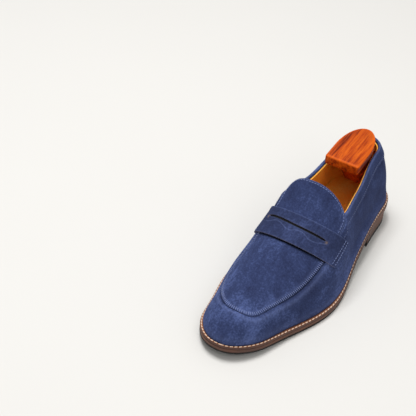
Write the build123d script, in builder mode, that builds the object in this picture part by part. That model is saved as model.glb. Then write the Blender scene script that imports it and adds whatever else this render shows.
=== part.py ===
"""Penny loafer with a wooden shoe-tree heel block: left shoe, size EU 43.

Distances called s run along the shoe from the back of the outsole towards the toe.
Positive y is the wearer's left, the lateral side. Heights z are above the floor.
"""
from build123d import *
import math
import os

# ---- overall sizes, mm ----
outsole_length = 302.0
heel_half_width = 33.2          # of the upper at the feather line
waist_lateral = 40.6
waist_medial = 31.0
ball_lateral = 50.9
ball_medial = 47.2
toe_lateral = 33.2
toe_medial = 36.2
tip_taper = 13.5                # how much narrower the toe stations get at the very tip
toe_swing = -7.7                # inward drift of the centre line at the tip

# ---- stations along the shoe, mm from the back, or as setbacks from the sole's tip ----
heel_round = 38.0               # where the rounded heel end begins
waist_at = 112.0
ball_at = 190.0
ball_joint_at = 207.0
toe_width_setback = 50.0
toe_round = 34.5                # length of the rounded toe end
swing_from = 130.0
arch_from = 70.0
arch_to = 175.0
spring_from = 200.0
toe_fan_setback = 64.0          # origin of the upright sections round the toe

# ---- side profile, mm ----
toe_spring = 8.3
heel_height = 18.5              # underside of the sole above the floor at the heel
rubber_thickness = 1.5
outsole_thickness = 4.0
welt_thickness = 3.0
welt_width = 4.2                # how far the sole edge stands out past the upper
top_piece_thickness = 5.0
lift_count = 3
heel_breast_at = 78.0
heel_inset = 1.6                # heel stack inside the outsole edge
breast_hollow = 5.0

# ---- ridge of the upper above the floor, by station ----
ankle_ridge = 103.5             # imaginary top of the form above the mouth
mouth_ridge = 107.0
tongue_ridge = 100.0
instep_ridge = 84.5
strap_ridge = 78.5
vamp_ridge = 63.5
toe_ridge = 45.5
tip_ridge = 37.5
throat_at = 143.0               # where the ridge is at tongue_ridge
throat_drop = 17.0              # from there to the instep station
ridge_lean = -4.65              # the instep leans to the medial side
lean_at = 150.0
lean_reach = 55.0

# ---- layers of the upper, mm ----
suede = 1.4
stiffener = 1.0
puff = 0.5                      # toe puff, in the middle of the room between suede and lining
leather_lining = 1.2
glue_gap = 0.1
thread = 0.5
strap_lift = 0.5                # air under the strap, the collar band and the heel strip
thread_lift = 0.3
seam_lift = 0.6                 # the apron's stitches above its face
margin_gap = 0.3                # between the welt and the pieces that stand on it
seam_gap = 0.7                  # between the apron and the wall it is stitched to
panel_gap = 0.3                 # between walls that meet end to end

# ---- mouth and pattern lines ----
back_top = 91.0
collar_height = 88.5
collar_at = 50.0
side_top = 80.0
side_at = 95.0
front_top = 79.5
front_at = 150.0
collar_width = 11.0
collar_seam_inset = 9.0
backstay_width = 12.0
counter_length = 85.0
counter_height = 48.0
puff_length = 48.0
tongue_at = 139.0               # rear edge of the tongue
tongue_lateral = 35.0
tongue_medial = 27.0
tongue_corner = 8.0
tongue_rear_share = 0.74        # straight part of the tongue's rear edge
tongue_lining_to = 165.0
apron_lateral = 37.0
apron_medial = 34.0
apron_vamp_setback = 77.0       # widest part of the apron's medial side
apron_vamp_lateral = 31.8
apron_vamp_medial = 36.3
apron_toe_lateral = 24.0
apron_toe_medial = 29.8
apron_setback = 25.5            # apron front behind the sole tip
apron_front_lateral = 17.0
apron_front_medial = 13.5
apron_corner = 13.0
seam_width = 1.6
seam_inset = 1.4
lining_split_at = 165.0
lining_margin = 1.5             # the tongue lining stops this far inside the tongue's edge
lining_drop = 1.0               # the quarter lining stops this far below the mouth's edge
puff_top = 40.0
quarter_seam_at = 163.0
strap_rear_at = 167.0
strap_width = 36.0
strap_slant = 17.0              # how far the strap runs back on its way down
strap_drop = 26.0
strap_lean_end = 11.0           # the strap end rises this much towards the back
strap_foot_height = 54.0
strap_row_inset = 2.0
strap_row_spacing = 2.5
strap_top_height = 85.0
slit_length = 61.0
slit_width = 2.4
slit_bow = 6.8
slit_behind_front = 26.4
backing_margin = 5.0            # reach of the dark cloth past the slit, under the strap

# ---- insole set ----
insole_thickness = 2.0
sock_thickness = 1.1
sock_length = 152.0
insole_clearance = 0.7
insole_rise = 0.5               # insole top above the feather line
sock_front_bow = 14.0
shank_width = 12.0
shank_length = 95.0
shank_thickness = 1.2
shank_from = 52.0
nail_diameter = 2.0
nail_count = 5
nail_ring = 20.0
nail_length = 14.0

# ---- shoe-tree heel block ----
block_front_at = 84.0
block_back_at = 23.0
block_plate_half_width = 18.5
block_body_half_width = 14.0
block_front_thickness = 10.5
block_back_thickness = 9.0
block_front_top = 95.5
block_back_top = 101.5
block_bottom = 43.0
block_notch = 12.0
block_foot_front = 38.0
block_round = 0.62              # share of the block's length that is rounded
block_shift = -1.0

lining_in = -(suede + stiffener + leather_lining + 2 * glue_gap)
lining_out = -(suede + stiffener + 2 * glue_gap)
stiffener_in = -(suede + stiffener + glue_gap)
stiffener_out = -(suede + glue_gap)
upper_in = -suede
overlay_in = strap_lift
overlay_out = strap_lift + suede
puff_middle = (upper_in + lining_out) / 2
thread_in = overlay_out + thread_lift
thread_out = thread_in + thread

toe_width_at = outsole_length - toe_width_setback
toe_fan_at = outsole_length - toe_fan_setback
apron_vamp_at = outsole_length - apron_vamp_setback
feather_back = welt_width
feather_front = outsole_length - welt_width
sole_stack = rubber_thickness + outsole_thickness + welt_thickness


def through(stations, s):
    """Smooth curve through (place, value) stations, read at place s."""
    xs = [p[0] for p in stations]
    ys = [p[1] for p in stations]
    last = len(xs) - 1
    slopes = [(ys[i + 1] - ys[i]) / (xs[i + 1] - xs[i]) for i in range(last)]
    tangents = [slopes[0]]
    for i in range(1, last):
        left = xs[i] - xs[i - 1]
        right = xs[i + 1] - xs[i]
        tangents.append((slopes[i - 1] * right + slopes[i] * left) / (left + right))
    tangents.append(slopes[-1])
    if s <= xs[0]:
        return ys[0]
    if s >= xs[-1]:
        return ys[-1] + tangents[-1] * (s - xs[-1])
    i = max(j for j in range(last) if xs[j] <= s)
    span = xs[i + 1] - xs[i]
    t = (s - xs[i]) / span
    rise = (3 - 2 * t) * t * t
    return (ys[i] + (ys[i + 1] - ys[i]) * rise
            + span * t * (1 - t) * ((1 - t) * tangents[i] - t * tangents[i + 1]))


def ends(s, offset):
    """Rounding of the heel end and of the toe end, each 1 in the middle and 0 at its tip."""
    back = feather_back - offset
    front = feather_front + offset
    into_heel = min(max((heel_round - s) / (heel_round - back), 0.0), 1.0)
    into_toe = min(max((s - (front - toe_round)) / toe_round, 0.0), 1.0)
    return (1 - into_heel ** 2.1) ** (1 / 2.1) * (1 - into_toe ** 2.3) ** (1 / 2.3)


def half_widths(s, offset):
    lateral = through([(0, heel_half_width), (heel_round, heel_half_width), (waist_at, waist_lateral),
                       (ball_at, ball_lateral), (toe_width_at, toe_lateral),
                       (outsole_length, toe_lateral - tip_taper)], s)
    medial = through([(0, heel_half_width), (heel_round, heel_half_width), (waist_at, waist_medial),
                      (ball_joint_at, ball_medial), (toe_width_at, toe_medial),
                      (outsole_length, toe_medial - tip_taper)], s)
    round_off = ends(s, offset)
    return (lateral + offset) * round_off, (medial + offset) * round_off


def centre(s):
    drift = min(max((s - swing_from) / (outsole_length - swing_from), 0.0), 1.1)
    return toe_swing * drift ** 2


def sole_line(s):
    """Underside of the sole above the floor: level heel, arch, ball on the floor, toe spring."""
    if s <= arch_from:
        return heel_height
    if s < arch_to:
        return heel_height * 0.5 * (1 + math.cos(math.pi * (s - arch_from) / (arch_to - arch_from)))
    if s <= spring_from:
        return 0.0
    return toe_spring * ((s - spring_from) / (outsole_length - spring_from)) ** 2


def feather(s):
    return sole_line(s) + sole_stack


def ridge(s, offset):
    """Height of the upper's centre ridge, closed down to the feather line at both ends."""
    top = through([(0, ankle_ridge), (heel_round, ankle_ridge), (100, mouth_ridge),
                   (throat_at, tongue_ridge), (throat_at + throat_drop, instep_ridge),
                   (strap_rear_at + 3, strap_ridge), (spring_from, vamp_ridge),
                   (toe_width_at, toe_ridge), (outsole_length - 2, tip_ridge)], s)
    return feather(s) + (top + offset - feather(s)) * ends(s, offset)


def width_power(s):
    return through([(0, 2.0), (100, 1.85), (lean_at, 2.6), (ball_at, 2.0), (toe_width_at, 2.3),
                    (outsole_length, 2.3)], s)


def height_power(s):
    return through([(0, 2.0), (100, 2.0), (lean_at, 2.5), (ball_at, 1.9), (toe_width_at, 2.2),
                    (outsole_length, 2.2)], s)


def height_at(s, y, offset):
    """Height of the form's surface over a point of the plan, or None outside the outline."""
    left, right = half_widths(s, offset)
    base = feather(s)
    top = ridge(s, offset)
    lean_here = ridge_lean * math.exp(-((s - lean_at) / lean_reach) ** 2)
    rise = 0.7
    for _ in range(25):
        across = y - centre(s) - lean_here * rise
        half = left if across > 0 else right
        if half <= 0 or abs(across) >= half:
            target = 0.0
        else:
            target = (1 - (abs(across) / half) ** width_power(s)) ** (1 / height_power(s))
        rise = 0.5 * (rise + target)
    return base + (top - base) * rise


def outline(offset, count=22):
    """Plan outline at the feather line, grown by offset, as a closed run of points."""
    back = feather_back - offset
    front = feather_front + offset
    lateral_side = []
    medial_side = []
    for i in range(1, count):
        s = back + (front - back) * (1 - math.cos(math.pi * i / count)) / 2
        left, right = half_widths(s, offset)
        lateral_side.append((s, centre(s) + left))
        medial_side.append((s, centre(s) - right))
    return [(back, centre(back))] + lateral_side + [(front, centre(front))] + medial_side[::-1]


def apron_half_widths(s, grow):
    """Lateral and medial reach of the apron at station s, closed by a blunt rounded front."""
    front = outsole_length - apron_setback + grow
    lateral = through([(tongue_at, tongue_lateral), (strap_rear_at, apron_lateral),
                       (ball_at, apron_lateral - 0.5), (apron_vamp_at, apron_vamp_lateral),
                       (toe_width_at, apron_toe_lateral), (front, apron_front_lateral)], s)
    medial = through([(tongue_at, tongue_medial), (strap_rear_at, apron_medial - 3),
                      (ball_at, apron_medial), (apron_vamp_at, apron_vamp_medial),
                      (toe_width_at, apron_toe_medial), (front, apron_front_medial)], s)
    into_front = min(max((s - front + apron_corner) / apron_corner, 0.0), 1.0)
    into_rear = min(max((tongue_at - grow + tongue_corner - s) / tongue_corner, 0.0), 1.0)
    corner_front = (1 - into_front ** 3) ** (1 / 3)
    corner_rear = tongue_rear_share + (1 - tongue_rear_share) * (1 - into_rear ** 3) ** (1 / 3)
    return (lateral + grow) * corner_front * corner_rear, (medial + grow) * corner_front * corner_rear


# The row's origin is the middle of the outsole's box, on the floor.
sole_edge = outline(welt_width, 80)
middle_y = (max(p[1] for p in sole_edge) + min(p[1] for p in sole_edge)) / 2
corner = (-outsole_length / 2, -middle_y, 0)
plan = Plane(origin=corner)
side = Plane(origin=corner, x_dir=(1, 0, 0), z_dir=(0, -1, 0))
reach_y = 90.0
tall = 130.0


def rib(turn):
    """Origin and plan direction of an upright cutting plane, numbered round the shoe.

    0 is the heel's back and 3 the toe's tip. The lateral side runs 0 to 1 round the heel, 1 to 2
    along the side and 2 to 3 round the toe; the medial side is the same with a minus sign.
    """
    if turn > 3:
        turn = turn - 6
    way = -1 if turn < 0 else 1
    t = abs(turn)
    if t <= 1:
        angle = math.pi * (1 - t / 2)
        s = heel_round
    elif t <= 2:
        angle = math.pi / 2
        s = heel_round + (toe_fan_at - heel_round) * (t - 1)
    else:
        angle = math.pi * (3 - t) / 2
        s = toe_fan_at
    return (s, centre(s)), (math.cos(angle), way * math.sin(angle))


def reach(turn, offset):
    """Distance from the rib's origin to the feather outline."""
    (s, y), (dx, dy) = rib(turn)
    low, high = 0.0, 90.0
    for _ in range(40):
        middle = (low + high) / 2
        s_m = s + dx * middle
        left, right = half_widths(s_m, offset)
        across = y + dy * middle - centre(s_m)
        inside = -right < across < left and feather_back - offset < s_m < feather_front + offset
        low, high = (middle, high) if inside else (low, middle)
    return low


def surface_radius(turn, height, offset):
    """Distance along the rib at which the form's surface stands at the given height."""
    (s, y), (dx, dy) = rib(turn)
    low, high = 0.0, reach(turn, offset)
    for _ in range(30):
        middle = (low + high) / 2
        if height_at(s + dx * middle, y + dy * middle, offset) > height:
            low = middle
        else:
            high = middle
    return low


def seam_radius(turn, grow):
    """Distance along the rib to the apron outline, 0 where the rib misses it."""
    (s, y), (dx, dy) = rib(turn)
    low, high = 0.0, 90.0
    for _ in range(30):
        middle = (low + high) / 2
        s_m = s + dx * middle
        if not tongue_at - grow < s_m < outsole_length - apron_setback + grow:
            high = middle
            continue
        left, right = apron_half_widths(s_m, grow)
        across = y + dy * middle - centre(s_m)
        low, high = (middle, high) if -right < across < left else (low, middle)
    return low


def wall(turns, inner, outer, bottom, top, seam=None):
    """Solid wall lofted through upright sections.

    Each section runs between the form grown by inner and by outer, from the bottom height to
    the top height, or up to the apron outline grown by seam where that is lower.
    """
    steps = 6
    with BuildPart() as body:
        for turn in turns:
            (s, y), (dx, dy) = rib(turn)
            origin = (corner[0] + s, corner[1] + y, 0)
            across = Plane(origin=origin, x_dir=(dx, dy, 0), z_dir=(dy, -dx, 0))
            curves = []
            for offset in (outer, inner):
                foot_radius = reach(turn, offset)
                s_foot = s + dx * foot_radius
                foot = feather(s_foot) + margin_gap if bottom is None else bottom(turn)
                if bottom is not None:
                    foot_radius = surface_radius(turn, foot, offset)
                top_radius = surface_radius(turn, top(turn), offset)
                if seam is not None:
                    top_radius = max(top_radius, seam_radius(turn, seam))
                points = []
                for i in range(steps + 1):
                    share = math.sin(math.pi / 2 * i / steps)
                    radius = top_radius + (foot_radius - top_radius) * share
                    height = height_at(s + dx * radius, y + dy * radius, offset)
                    points.append((radius, height))
                points[-1] = (foot_radius, foot)
                curves.append(points)
            with BuildSketch(across):
                with BuildLine():
                    Spline(*curves[0])
                    Spline(*curves[1])
                    Line(curves[0][0], curves[1][0])
                    Line(curves[0][-1], curves[1][-1])
                make_face()
        loft(ruled=True)
    return body.part


def arch(stations, inner, outer, lateral=None, medial=None):
    """Solid shell lofted through cross-sections that pass over the ridge.

    lateral and medial give the reach of each section to either side of the centre line;
    without them the section runs down to the feather line.
    """
    steps = 8
    with BuildPart() as body:
        for s in stations:
            origin = (corner[0] + s, corner[1] + centre(s), 0)
            across = Plane(origin=origin, x_dir=(0, 1, 0), z_dir=(1, 0, 0))
            curves = []
            for offset in (outer, inner):
                left, right = half_widths(s, offset)
                full = lateral is None
                left_end = left if full else lateral(s)
                right_end = right if full else medial(s)
                points = []
                for i in range(2 * steps + 1):
                    share = math.sin(math.pi / 2 * (i - steps) / steps)
                    y = share * (right_end if share < 0 else left_end)
                    points.append((y, height_at(s, centre(s) + y, offset)))
                if full:
                    points[0] = (-right, feather(s) + margin_gap)
                    points[-1] = (left, feather(s) + margin_gap)
                curves.append(points)
            with BuildSketch(across):
                with BuildLine():
                    Spline(*curves[0])
                    Spline(*curves[1])
                    Line(curves[0][0], curves[1][0])
                    Line(curves[0][-1], curves[1][-1])
                make_face()
        loft(ruled=True)
    return body.part


def spread(start, end, count):
    """Evenly spaced numbers from start to end."""
    return [start + (end - start) * i / (count - 1) for i in range(count)]


def plan_prism(offset):
    """Upright prism on the plan outline grown by offset."""
    with BuildPart() as body:
        with BuildSketch(plan):
            with BuildLine():
                Spline(*outline(offset), periodic=True)
            make_face()
        extrude(amount=tall)
    return body.part


def band(low, high):
    """Slab across the shoe between two heights above the sole line."""
    start = -10.0
    end = outsole_length + 10.0
    stations = spread(start, end, 17)
    with BuildPart() as body:
        with BuildSketch(side):
            with BuildLine():
                Spline(*[(s, sole_line(s) + low) for s in stations])
                Spline(*[(s, sole_line(s) + high) for s in stations])
                Line((start, sole_line(start) + low), (start, sole_line(start) + high))
                Line((end, sole_line(end) + low), (end, sole_line(end) + high))
            make_face()
        extrude(amount=reach_y, both=True)
    return body.part


def slab(start, end, medial=-reach_y, lateral=reach_y):
    """Plain block between two stations and two sides, from the floor up."""
    with BuildPart() as body:
        with BuildSketch(plan.offset(-5.0)):
            with Locations(((start + end) / 2, (medial + lateral) / 2)):
                Rectangle(end - start, lateral - medial)
        extrude(amount=tall + 5.0)
    return body.part


def strap_prism(low_end, high_end, trim=0.0):
    """Prism on the strap's slanted shape in side view, between two heights above its foot."""
    slope = strap_slant / strap_drop
    rear = strap_rear_at + trim
    front = strap_rear_at + strap_width - trim
    rise = strap_lean_end / strap_width
    corners = []
    for edge, height in ((rear, low_end), (front, low_end), (front, high_end), (rear, high_end)):
        z = strap_foot_height + height - rise * (edge - rear)
        corners.append((edge - slope * (strap_top_height - z), z))
    with BuildPart() as body:
        with BuildSketch(side):
            Polygon(*corners, align=None)
        extrude(amount=reach_y, both=True)
    return body.part


def heel_slice(low, high):
    """Slice of the heel stack: the sole outline behind a hollowed breast."""
    with BuildPart() as body:
        with BuildSketch(plan.offset(low)):
            with BuildLine():
                Spline(*outline(welt_width - heel_inset), periodic=True)
            make_face()
        extrude(amount=high - low)
        with BuildSketch(plan.offset(low)):
            with BuildLine():
                ThreePointArc((heel_breast_at, -reach_y / 2), (heel_breast_at - breast_hollow, 0),
                              (heel_breast_at, reach_y / 2))
                Polyline((heel_breast_at, reach_y / 2), (-20, reach_y / 2), (-20, -reach_y / 2),
                         (heel_breast_at, -reach_y / 2))
            make_face()
        extrude(amount=high - low, mode=Mode.INTERSECT)
    return body.part


def nail_set(radius, length):
    with BuildPart() as body:
        with BuildSketch(plan):
            with Locations((heel_round + 2, 0)):
                with PolarLocations(nail_ring, nail_count, start_angle=110, angular_range=140,
                                    endpoint=True):
                    Circle(radius)
        extrude(amount=length)
    return body.part


def finish(label, start, keep=(), cut=()):
    """Write one sub-part: a solid kept inside some shapes and cleared of others."""
    with BuildPart() as body:
        add(start)
        for shape in keep:
            add(shape, mode=Mode.INTERSECT)
        for shape in cut:
            add(shape, mode=Mode.SUBTRACT)
    body.part.label = label
    export_step(body.part, f"parts/{label}.step")
    return body.part


os.makedirs("parts", exist_ok=True)

# ---- sole unit, from the floor up ----
sole_area = plan_prism(welt_width)
seat_area = plan_prism(lining_in - insole_clearance)
outsole_top = rubber_thickness + outsole_thickness
insole_base = sole_stack - insole_thickness + insole_rise
sock_base = insole_base + insole_thickness + glue_gap
half_shank = shank_width / 2
shank_end = shank_from + shank_length
shank_base = outsole_top + glue_gap

finish("rubber_sole", sole_area, [band(0.0, rubber_thickness - glue_gap),
                                  slab(heel_breast_at + panel_gap, outsole_length + 5)])
finish("outsole", sole_area, [band(rubber_thickness, outsole_top - glue_gap)])
finish("welt", sole_area, [band(outsole_top, sole_stack)], [plan_prism(lining_in)])
stitch_base = sole_stack + glue_gap
finish("welt_thread", plan_prism(welt_width - 0.6), [band(stitch_base, stitch_base + thread)],
       [plan_prism(welt_width - 1.6)])
finish("cork_filler", seat_area, [band(outsole_top, insole_base - glue_gap)],
       [slab(shank_from - 1, shank_end + 1, medial=-half_shank - 1, lateral=half_shank + 1)])
finish("shank", slab(shank_from, shank_end, medial=-half_shank, lateral=half_shank),
       [band(shank_base, shank_base + shank_thickness)])
finish("insole", seat_area, [band(insole_base, insole_base + insole_thickness)])
sock_end = sock_length + feather_back
with BuildPart() as sock_area:
    with BuildSketch(plan):
        with BuildLine():
            ThreePointArc((sock_end - sock_front_bow, -reach_y / 2), (sock_end, 0),
                          (sock_end - sock_front_bow, reach_y / 2))
            Polyline((sock_end - sock_front_bow, reach_y / 2), (-20, reach_y / 2), (-20, -reach_y / 2),
                     (sock_end - sock_front_bow, -reach_y / 2))
        make_face()
    extrude(amount=tall)
finish("sock_liner", seat_area, [band(sock_base, sock_base + sock_thickness), sock_area.part])

# ---- heel stack and its nails ----
lift_height = (heel_height + rubber_thickness - glue_gap - top_piece_thickness) / lift_count
nail_holes = nail_set(nail_diameter / 2 + glue_gap, nail_length + glue_gap)
under_sole = band(-heel_height - 20, rubber_thickness - glue_gap)
finish("heel_nails", nail_set(nail_diameter / 2, nail_length))
finish("top_piece", heel_slice(0.0, top_piece_thickness - glue_gap), (), [nail_holes])
for number in range(lift_count):
    low = top_piece_thickness + number * lift_height
    lift = heel_slice(low, low + lift_height - glue_gap)
    finish(f"heel_lift_{number + 1}", lift, [under_sole], [nail_holes])


# ---- walls of the upper ----
def side_turn(s):
    """The rib that crosses the lateral side at station s."""
    return 1 + (s - heel_round) / (toe_fan_at - heel_round)


def top_line(s):
    """Height of the mouth's edge at station s."""
    return through([(0, back_top), (collar_at, collar_height), (side_at, side_top),
                    (front_at, front_top), (outsole_length, front_top)], s)


def mouth(drop):
    """Top height of a wall that stops drop below the mouth's edge, as a function of the rib."""
    def top(turn):
        (s, y), (dx, dy) = rib(turn)
        return top_line(s + min(dx, 0.0) * heel_round) - drop
    return top


def level(height):
    return lambda turn: height


seam_turn = side_turn(quarter_seam_at)
turn_gap = panel_gap / (toe_fan_at - heel_round)
toe_ribs = spread(seam_turn + turn_gap, 2, 6) + spread(2, 4, 29)[1:-1]
toe_ribs = toe_ribs + spread(4, 6 - seam_turn - turn_gap, 6)
side_ribs = spread(1, seam_turn - turn_gap, 9)[1:]
heel_end = spread(-1, 1, 13)
half_strip = backstay_width / 2 / (heel_half_width * math.pi / 2)
collar_end = side_turn(front_at)

finish("vamp", wall(toe_ribs, upper_in, 0.0, None, mouth(0.0), seam_gap))
lateral_ribs = spread(panel_gap / 50, 1, 7) + side_ribs
finish("quarter_lateral", wall(lateral_ribs, upper_in, 0.0, None, mouth(0.0), seam_gap))
finish("quarter_medial", wall([-t for t in lateral_ribs], upper_in, 0.0, None, mouth(0.0), seam_gap))
finish("backstay", wall(spread(-half_strip, half_strip, 5), overlay_in, overlay_out, None,
                        mouth(collar_width + panel_gap)))
collar_sides = [t for t in side_ribs if t < collar_end]
collar_ribs = [-t for t in collar_sides[::-1]] + heel_end + collar_sides
finish("collar_band", wall(collar_ribs, overlay_in, overlay_out, mouth(collar_width), mouth(0.0),
                           seam_gap))
finish("collar_thread", wall(collar_ribs, thread_in, thread_out, mouth(collar_seam_inset + 1.0),
                             mouth(collar_seam_inset)))

# ---- apron with its tongue, and the seam round it ----


def apron_stations(grow):
    """Stations of the apron's sections, closer together at its rounded corners."""
    first = tongue_at - grow
    front = outsole_length - apron_setback + grow
    return (spread(first, first + tongue_corner, 5)
            + spread(first + tongue_corner, front - apron_corner, 14)[1:]
            + [front - apron_corner * k for k in (0.75, 0.5, 0.32, 0.18, 0.08, 0.02)])


def apron_reach(grow):
    return lambda s: apron_half_widths(s, grow)[0], lambda s: apron_half_widths(s, grow)[1]


finish("apron", arch(apron_stations(0.0), upper_in, 0.0, *apron_reach(0.0)))
seam_outer = arch(apron_stations(-seam_inset), seam_lift, seam_lift + thread, *apron_reach(-seam_inset))
seam_inner = arch(apron_stations(-seam_inset - seam_width), seam_lift - 1, seam_lift + thread + 1,
                  *apron_reach(-seam_inset - seam_width))
seam_start = strap_rear_at + strap_width - strap_slant
behind_strap = slab(0, strap_rear_at - 6)
finish("apron_thread", seam_outer, [slab(seam_start, outsole_length)],
       [seam_inner, strap_prism(-20.0, 60.0, -1.0)])
finish("tongue_thread", seam_outer, [behind_strap], [seam_inner, strap_prism(-6.0, 60.0, -2.0)])
tongue_reach = apron_reach(-lining_margin)
finish("tongue_lining", arch(spread(tongue_at + lining_margin, tongue_lining_to, 6), lining_in, lining_out,
                             *tongue_reach))

# ---- hidden stiffeners and linings ----
puff_turn = side_turn(outsole_length - puff_length - toe_round)
puff_ribs = spread(puff_turn, 2, 3) + spread(2, 4, 37)[1:-1] + spread(4, 6 - puff_turn, 3)
finish("toe_puff", wall(puff_ribs, puff_middle - puff / 2, puff_middle + puff / 2, None,
                        level(puff_top)))
counter_turn = side_turn(counter_length)
counter_ribs = spread(-counter_turn, -1, 4)[:-1] + heel_end + spread(1, counter_turn, 4)[1:]
finish("heel_counter", wall(counter_ribs, stiffener_in, stiffener_out, None,
                            level(heel_height + sole_stack + counter_height)))
lining_turn = side_turn(lining_split_at - panel_gap)
lining_ribs = spread(-lining_turn, -1, 9)[:-1] + heel_end + spread(1, lining_turn, 9)[1:]
finish("quarter_lining", wall(lining_ribs, lining_in, lining_out, None, mouth(lining_drop), lining_margin))
lining_tip = feather_front + lining_in
finish("vamp_lining", arch(spread(lining_split_at, toe_width_at, 6)
                           + [lining_tip - toe_round * k for k in (0.8, 0.6, 0.4, 0.25, 0.13, 0.05)],
                           lining_in, lining_out))

# ---- penny strap ----
slit_at = strap_rear_at + strap_width - slit_behind_front


def slit_prism(grow):
    """Upright prism on the slit's bowed plan, grown by the given amount all round."""
    half = slit_length / 2 + grow
    rear = slit_at - grow
    front = slit_at + slit_width + grow
    with BuildPart() as body:
        with BuildSketch(plan):
            with BuildLine():
                rear_arc = ThreePointArc((rear - slit_bow, -half), (rear, 0), (rear - slit_bow, half))
                front_arc = ThreePointArc((front - slit_bow, -half), (front, 0), (front - slit_bow, half))
                Line(rear_arc @ 0, front_arc @ 0)
                Line(rear_arc @ 1, front_arc @ 1)
            make_face()
        extrude(amount=tall)
    return body.part


strap_stations = spread(strap_rear_at - strap_slant - 14, strap_rear_at + strap_width + 6, 13)
finish("strap", arch(strap_stations, overlay_in, overlay_out), [strap_prism(0.0, 60.0)], [slit_prism(0.0)])
finish("strap_backing", arch(strap_stations, glue_gap, strap_lift - glue_gap), [slit_prism(backing_margin)])
stitch_shell = arch(strap_stations, thread_in, thread_out)
for row_name, row_height in (("outer", strap_row_inset), ("inner", strap_row_inset + strap_row_spacing)):
    finish(f"strap_thread_{row_name}", stitch_shell, [strap_prism(row_height, row_height + 0.8, 1.0)])

# ---- wooden heel block of the shoe tree ----


def block_layer(height, back, front, half):
    """Face of the D-shaped block at one height: a straight front and a rounded heel end."""
    round_from = back + block_round * (front - back)
    lateral_end = []
    for turn in spread(0, math.pi / 2, 10):
        lateral_end.append((round_from - (round_from - back) * math.sin(turn), half * math.cos(turn)))
    medial_end = [(s, -y) for s, y in lateral_end[::-1]][1:]
    with BuildSketch(plan.offset(height)) as face:
        with Locations((0, block_shift)):
            with BuildLine():
                Polyline((round_from, -half), (front, -half), (front, half), (round_from, half))
                Spline(*(lateral_end + medial_end))
            make_face()
    return face.sketch


plate_floor = block_front_top - block_front_thickness
with BuildPart() as plate:
    with BuildSketch(side):
        Polygon((block_back_at, block_back_top - block_back_thickness), (block_front_at, plate_floor),
                (block_front_at, block_front_top), (block_back_at, block_back_top), align=None)
    extrude(amount=reach_y, both=True)
column = extrude(block_layer(0, block_back_at, block_front_at, block_plate_half_width), amount=tall)
neck_foot = block_layer(block_bottom, block_back_at - 5, block_foot_front, block_body_half_width - 2)
neck_front = block_front_at - block_notch
neck_head = block_layer(plate_floor + 1, block_back_at + 3, neck_front, block_body_half_width)
neck = loft([neck_foot.faces()[0], neck_head.faces()[0]])
finish("tree_block", (column & plate.part) + neck)
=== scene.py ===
import bmesh
import bpy
import math
import numpy as np
from mathutils import Matrix, Vector


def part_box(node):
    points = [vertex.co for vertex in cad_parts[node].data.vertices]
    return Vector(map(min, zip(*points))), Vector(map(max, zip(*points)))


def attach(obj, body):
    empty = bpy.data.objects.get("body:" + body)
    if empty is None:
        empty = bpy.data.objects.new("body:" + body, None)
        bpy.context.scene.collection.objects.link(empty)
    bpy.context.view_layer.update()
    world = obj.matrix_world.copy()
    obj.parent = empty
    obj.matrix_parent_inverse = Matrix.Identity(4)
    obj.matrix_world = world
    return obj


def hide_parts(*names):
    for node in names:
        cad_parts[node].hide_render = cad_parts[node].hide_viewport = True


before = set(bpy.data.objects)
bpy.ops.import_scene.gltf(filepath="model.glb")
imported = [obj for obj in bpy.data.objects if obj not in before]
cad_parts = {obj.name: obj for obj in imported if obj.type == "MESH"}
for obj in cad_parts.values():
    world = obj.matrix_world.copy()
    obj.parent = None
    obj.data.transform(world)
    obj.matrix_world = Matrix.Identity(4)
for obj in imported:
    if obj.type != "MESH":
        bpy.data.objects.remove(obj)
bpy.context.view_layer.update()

# The shoe is laid out in millimetres: s from the outsole's back to its tip, y to the wearer's
# left (lateral), z above the floor. row() turns that into the frame's metres.
SOLE_LENGTH = 302.0
sole_low, sole_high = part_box("outsole")
SCALE = (sole_high.x - sole_low.x) / SOLE_LENGTH
WELT_WIDTH = 4.2
SOLE_STACK = 8.5
OUTSOLE_TOP = 5.5
RUBBER = 1.5
HEEL_ROUND = 38.0
TOE_ROUND = 34.5
TOE_FAN = 238.0
TONGUE_AT = 139.0
TONGUE_CORNER = 8.0
TONGUE_FLAT = 0.74
APRON_FRONT = SOLE_LENGTH - 25.5
APRON_CORNER = 13.0
OVERLAY = 1.2
LINING_IN = -2.6
STRIP_TURN = 0.14
STRAP_REAR = 165.5
STRAP_BOW = 5.0
STRAP_WIDTH = 36.0
STRAP_SLOPE = 17.0 / 26.0
STRAP_TOP = 85.0
STRAP_FOOT = 54.0
STRAP_FOOT_RISE = 11.0 / 36.0
SLIT_AT = 177.6
SLIT_HALF = 30.5
SLIT_BOW = 6.8


# ---------------------------------------------------------------- the form of the shoe
def through(stations, s):
    """Smooth curve through (place, value) stations. On each span it is
    y0 + (y1 - y0)(3 - 2t)t^2 + span t(1 - t)((1 - t)m0 - t m1), with slopes m weighted from both
    neighbours; it is level before the first station and straight after the last."""
    xs, ys = np.array(stations, float).T
    step = np.diff(xs)
    slope = np.diff(ys) / step
    inner = (slope[:-1] * step[1:] + slope[1:] * step[:-1]) / (step[:-1] + step[1:])
    tangent = np.concatenate([slope[:1], inner, slope[-1:]])
    s = np.asarray(s, float)
    i = np.clip(np.searchsorted(xs, s, side="right") - 1, 0, len(step) - 1)
    t = np.clip((s - xs[i]) / step[i], 0, 1)
    curve = ys[i] + (ys[i + 1] - ys[i]) * (3 - 2 * t) * t * t
    curve = curve + step[i] * t * (1 - t) * ((1 - t) * tangent[i] - t * tangent[i + 1])
    return curve + np.maximum(s - xs[-1], 0) * tangent[-1]


def smooth(x, low, high):
    """0 below low, 1 above high, and 3t^2 - 2t^3 between."""
    t = np.clip((np.asarray(x, float) - low) / (high - low), 0, 1)
    return t * t * (3 - 2 * t)


def hump(x, middle, width):
    """Bell exp(-((x - middle) / width)^2)."""
    return np.exp(-((np.asarray(x, float) - middle) / width) ** 2)


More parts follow.
